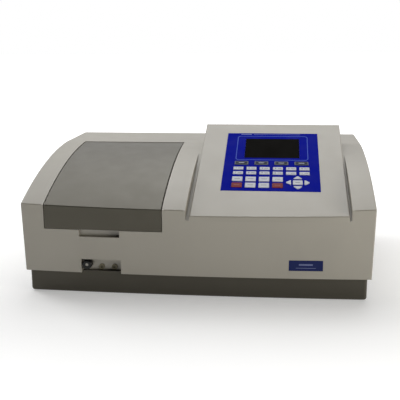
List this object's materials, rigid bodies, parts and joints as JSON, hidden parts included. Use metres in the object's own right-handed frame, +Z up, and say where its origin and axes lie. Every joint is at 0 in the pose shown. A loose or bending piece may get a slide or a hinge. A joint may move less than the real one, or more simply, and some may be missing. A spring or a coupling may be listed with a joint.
{
  "type": "spectrophotometer",
  "caption": "Bench-top spectrophotometer with hinged sample lid, pull-rod cell changer, sloping keypad console and grating optics inside.",
  "frame": {"origin": "on the bench plane under the middle of the body's bounding box", "axes": "+X to the operator's right, +Y to the back, +Z up; the operator's side is -Y"},
  "size_m": [0.47, 0.346, 0.2046],
  "materials": {
    "shell": "light warm-grey moulded plastic, fine texture, satin",
    "dark_plastic": "dark warm-grey moulded plastic, satin",
    "black_plastic": "black moulded plastic",
    "rubber": "soft black rubber",
    "steel": "plain steel",
    "cast_aluminium": "as-cast, fine grain",
    "anodised": "black anodised",
    "chamber": "matt black coating inside the light path",
    "name_plate": "dark navy label, blank",
    "overlay": "royal-blue printed membrane",
    "dark_panel": "dark grey paint on sheet metal",
    "screen": "near-black filter window, display off",
    "key_white": "white key",
    "key_grey": "slate-grey key",
    "key_red": "red key",
    "olive": "olive-grey plug",
    "circuit": "green circuit board with its parts",
    "brass": "turned brass",
    "lamp_glass": "quartz envelope on a ceramic base",
    "knob_black": "black knob, fluted rim",
    "shaft_grey": "satin aluminium rod"
  },
  "bodies": {
    "instrument": {"top_cover": "shell", "cover_screws": "steel", "name_plate": "name_plate", "base_tray": "dark_plastic", "rubber_feet": "rubber", "sample_chamber": "chamber", "lid_seal": "rubber", "port_plugs": "olive", "console_housing": "shell", "keypad_overlay": "overlay", "display_window": "screen", "display_module": "circuit", "rear_panel": "dark_panel", "monochromator_body": "anodised", "stepper_motors": "black_plastic", "lamps": "lamp_glass", "detector_unit": "anodised", "circuit_boards": "circuit", "fan_frame": "black_plastic", "power_inlet": "black_plastic"},
    "lid": {"sample_lid": "dark_plastic", "hinge_pins": "steel"},
    "cell_changer": {"cell_carriage": "anodised", "changer_rod": "shaft_grey", "changer_knob": "knob_black"},
    "mains_rocker": {"power_rocker": "black_plastic"},
    "wavelength_screw": {"lead_screw": "steel"},
    "wavelength_nut": {"drive_nut": "brass"},
    "grating": {"grating_turret": "cast_aluminium"},
    "filters": {"filter_wheel": "anodised"},
    "fan_blades": {"fan_rotor": "black_plastic"},
    "key_function_1_cap": {"key_function_1": "key_grey"},
    "key_function_2_cap": {"key_function_2": "key_grey"},
    "key_function_3_cap": {"key_function_3": "key_grey"},
    "key_function_4_cap": {"key_function_4": "key_grey"},
    "key_upper_1_cap": {"key_upper_1": "key_white"},
    "key_upper_2_cap": {"key_upper_2": "key_white"},
    "key_upper_3_cap": {"key_upper_3": "key_white"},
    "key_upper_4_cap": {"key_upper_4": "key_white"},
    "key_upper_5_cap": {"key_upper_5": "key_white"},
    "key_upper_6_cap": {"key_upper_6": "key_white"},
    "key_upper_7_cap": {"key_upper_7": "key_white"},
    "key_upper_8_cap": {"key_upper_8": "key_white"},
    "key_upper_9_cap": {"key_upper_9": "key_white"},
    "key_upper_10_cap": {"key_upper_10": "key_white"},
    "key_upper_11_cap": {"key_upper_11": "key_white"},
    "key_upper_12_cap": {"key_upper_12": "key_white"},
    "key_lower_1_cap": {"key_lower_1": "key_white"},
    "key_lower_2_cap": {"key_lower_2": "key_white"},
    "key_lower_3_cap": {"key_lower_3": "key_white"},
    "key_lower_4_cap": {"key_lower_4": "key_white"},
    "key_lower_5_cap": {"key_lower_5": "key_red"},
    "key_lower_6_cap": {"key_lower_6": "key_white"},
    "key_lower_7_cap": {"key_lower_7": "key_white"},
    "key_lower_8_cap": {"key_lower_8": "key_red"},
    "key_enter_cap": {"key_enter": "key_white"},
    "key_up_cap": {"key_up": "key_white"},
    "key_left_cap": {"key_left": "key_white"},
    "key_down_cap": {"key_down": "key_white"},
    "key_right_cap": {"key_right": "key_white"}
  },
  "joints": [
    {"name": "lid_hinge", "type": "hinge", "parent": "instrument", "child": "lid", "pos_m": [-0.1224, 0.0535, 0.1713], "axis": [-1, 0, 0], "range_deg": [0, 95]},
    {"name": "cell_changer_slide", "type": "slide", "parent": "instrument", "child": "cell_changer", "axis": [0, -1, 0], "range_m": [0, 0.054]},
    {"name": "power_rocker_pivot", "type": "hinge", "parent": "instrument", "child": "mains_rocker", "pos_m": [0.165, 0.1667, 0.086], "axis": [-1, 0, 0], "range_deg": [0, 16]},
    {"name": "wavelength_screw_turn", "type": "hinge", "parent": "instrument", "child": "wavelength_screw", "pos_m": [-0.015, 0.003, 0.038], "axis": [0, 1, 0], "range_deg": [-1805, 1805]},
    {"name": "wavelength_nut_slide", "type": "slide", "parent": "instrument", "child": "wavelength_nut", "axis": [0, 1, 0], "range_m": [-0.01, 0.01]},
    {"name": "grating_pivot", "type": "hinge", "parent": "instrument", "child": "grating", "pos_m": [0.035, 0.003, 0.05], "axis": [0, 0, 1], "range_deg": [-14.8, 14.8]},
    {"name": "filter_wheel_turn", "type": "hinge", "parent": "instrument", "child": "filters", "pos_m": [0.095, 0.038, 0.065], "axis": [1, 0, 0], "continuous": true},
    {"name": "fan_spin", "type": "hinge", "parent": "instrument", "child": "fan_blades", "pos_m": [0.085, 0.16, 0.075], "axis": [0, 1, 0], "continuous": true},
    {"name": "key_function_1_press", "type": "slide", "parent": "instrument", "child": "key_function_1_cap", "axis": [0, 0.3596, -0.9331], "range_m": [0, 0.0008], "stiffness_N_per_m": 400, "springref_m": -0.002},
    {"name": "key_function_2_press", "type": "slide", "parent": "instrument", "child": "key_function_2_cap", "axis": [0, 0.3596, -0.9331], "range_m": [0, 0.0008], "stiffness_N_per_m": 400, "springref_m": -0.002},
    {"name": "key_function_3_press", "type": "slide", "parent": "instrument", "child": "key_function_3_cap", "axis": [0, 0.3596, -0.9331], "range_m": [0, 0.0008], "stiffness_N_per_m": 400, "springref_m": -0.002},
    {"name": "key_function_4_press", "type": "slide", "parent": "instrument", "child": "key_function_4_cap", "axis": [0, 0.3596, -0.9331], "range_m": [0, 0.0008], "stiffness_N_per_m": 400, "springref_m": -0.002},
    {"name": "key_upper_1_press", "type": "slide", "parent": "instrument", "child": "key_upper_1_cap", "axis": [0, 0.3596, -0.9331], "range_m": [0, 0.0008], "stiffness_N_per_m": 400, "springref_m": -0.002},
    {"name": "key_upper_2_press", "type": "slide", "parent": "instrument", "child": "key_upper_2_cap", "axis": [0, 0.3596, -0.9331], "range_m": [0, 0.0008], "stiffness_N_per_m": 400, "springref_m": -0.002},
    {"name": "key_upper_3_press", "type": "slide", "parent": "instrument", "child": "key_upper_3_cap", "axis": [0, 0.3596, -0.9331], "range_m": [0, 0.0008], "stiffness_N_per_m": 400, "springref_m": -0.002},
    {"name": "key_upper_4_press", "type": "slide", "parent": "instrument", "child": "key_upper_4_cap", "axis": [0, 0.3596, -0.9331], "range_m": [0, 0.0008], "stiffness_N_per_m": 400, "springref_m": -0.002},
    {"name": "key_upper_5_press", "type": "slide", "parent": "instrument", "child": "key_upper_5_cap", "axis": [0, 0.3596, -0.9331], "range_m": [0, 0.0008], "stiffness_N_per_m": 400, "springref_m": -0.002},
    {"name": "key_upper_6_press", "type": "slide", "parent": "instrument", "child": "key_upper_6_cap", "axis": [0, 0.3596, -0.9331], "range_m": [0, 0.0008], "stiffness_N_per_m": 400, "springref_m": -0.002},
    {"name": "key_upper_7_press", "type": "slide", "parent": "instrument", "child": "key_upper_7_cap", "axis": [0, 0.3596, -0.9331], "range_m": [0, 0.0008], "stiffness_N_per_m": 400, "springref_m": -0.002},
    {"name": "key_upper_8_press", "type": "slide", "parent": "instrument", "child": "key_upper_8_cap", "axis": [0, 0.3596, -0.9331], "range_m": [0, 0.0008], "stiffness_N_per_m": 400, "springref_m": -0.002},
    {"name": "key_upper_9_press", "type": "slide", "parent": "instrument", "child": "key_upper_9_cap", "axis": [0, 0.3596, -0.9331], "range_m": [0, 0.0008], "stiffness_N_per_m": 400, "springref_m": -0.002},
    {"name": "key_upper_10_press", "type": "slide", "parent": "instrument", "child": "key_upper_10_cap", "axis": [0, 0.3596, -0.9331], "range_m": [0, 0.0008], "stiffness_N_per_m": 400, "springref_m": -0.002},
    {"name": "key_upper_11_press", "type": "slide", "parent": "instrument", "child": "key_upper_11_cap", "axis": [0, 0.3596, -0.9331], "range_m": [0, 0.0008], "stiffness_N_per_m": 400, "springref_m": -0.002},
    {"name": "key_upper_12_press", "type": "slide", "parent": "instrument", "child": "key_upper_12_cap", "axis": [0, 0.3596, -0.9331], "range_m": [0, 0.0008], "stiffness_N_per_m": 400, "springref_m": -0.002},
    {"name": "key_lower_1_press", "type": "slide", "parent": "instrument", "child": "key_lower_1_cap", "axis": [0, 0.3596, -0.9331], "range_m": [0, 0.0008], "stiffness_N_per_m": 400, "springref_m": -0.002},
    {"name": "key_lower_2_press", "type": "slide", "parent": "instrument", "child": "key_lower_2_cap", "axis": [0, 0.3596, -0.9331], "range_m": [0, 0.0008], "stiffness_N_per_m": 400, "springref_m": -0.002},
    {"name": "key_lower_3_press", "type": "slide", "parent": "instrument", "child": "key_lower_3_cap", "axis": [0, 0.3596, -0.9331], "range_m": [0, 0.0008], "stiffness_N_per_m": 400, "springref_m": -0.002},
    {"name": "key_lower_4_press", "type": "slide", "parent": "instrument", "child": "key_lower_4_cap", "axis": [0, 0.3596, -0.9331], "range_m": [0, 0.0008], "stiffness_N_per_m": 400, "springref_m": -0.002},
    {"name": "key_lower_5_press", "type": "slide", "parent": "instrument", "child": "key_lower_5_cap", "axis": [0, 0.3596, -0.9331], "range_m": [0, 0.0008], "stiffness_N_per_m": 400, "springref_m": -0.002},
    {"name": "key_lower_6_press", "type": "slide", "parent": "instrument", "child": "key_lower_6_cap", "axis": [0, 0.3596, -0.9331], "range_m": [0, 0.0008], "stiffness_N_per_m": 400, "springref_m": -0.002},
    {"name": "key_lower_7_press", "type": "slide", "parent": "instrument", "child": "key_lower_7_cap", "axis": [0, 0.3596, -0.9331], "range_m": [0, 0.0008], "stiffness_N_per_m": 400, "springref_m": -0.002},
    {"name": "key_lower_8_press", "type": "slide", "parent": "instrument", "child": "key_lower_8_cap", "axis": [0, 0.3596, -0.9331], "range_m": [0, 0.0008], "stiffness_N_per_m": 400, "springref_m": -0.002},
    {"name": "key_enter_press", "type": "slide", "parent": "instrument", "child": "key_enter_cap", "axis": [0, 0.3596, -0.9331], "range_m": [0, 0.0008], "stiffness_N_per_m": 400, "springref_m": -0.002},
    {"name": "key_up_press", "type": "slide", "parent": "instrument", "child": "key_up_cap", "axis": [0, 0.3596, -0.9331], "range_m": [0, 0.0008], "stiffness_N_per_m": 400, "springref_m": -0.002},
    {"name": "key_left_press", "type": "slide", "parent": "instrument", "child": "key_left_cap", "axis": [0, 0.3596, -0.9331], "range_m": [0, 0.0008], "stiffness_N_per_m": 400, "springref_m": -0.002},
    {"name": "key_down_press", "type": "slide", "parent": "instrument", "child": "key_down_cap", "axis": [0, 0.3596, -0.9331], "range_m": [0, 0.0008], "stiffness_N_per_m": 400, "springref_m": -0.002},
    {"name": "key_right_press", "type": "slide", "parent": "instrument", "child": "key_right_cap", "axis": [0, 0.3596, -0.9331], "range_m": [0, 0.0008], "stiffness_N_per_m": 400, "springref_m": -0.002}
  ],
  "couplings": [
    {"joint": "wavelength_screw_turn", "follows": "wavelength_nut_slide", "rad_per_m": 3141.6},
    {"joint": "grating_pivot", "follows": "wavelength_nut_slide", "rad_per_m": -25.641}
  ]
}
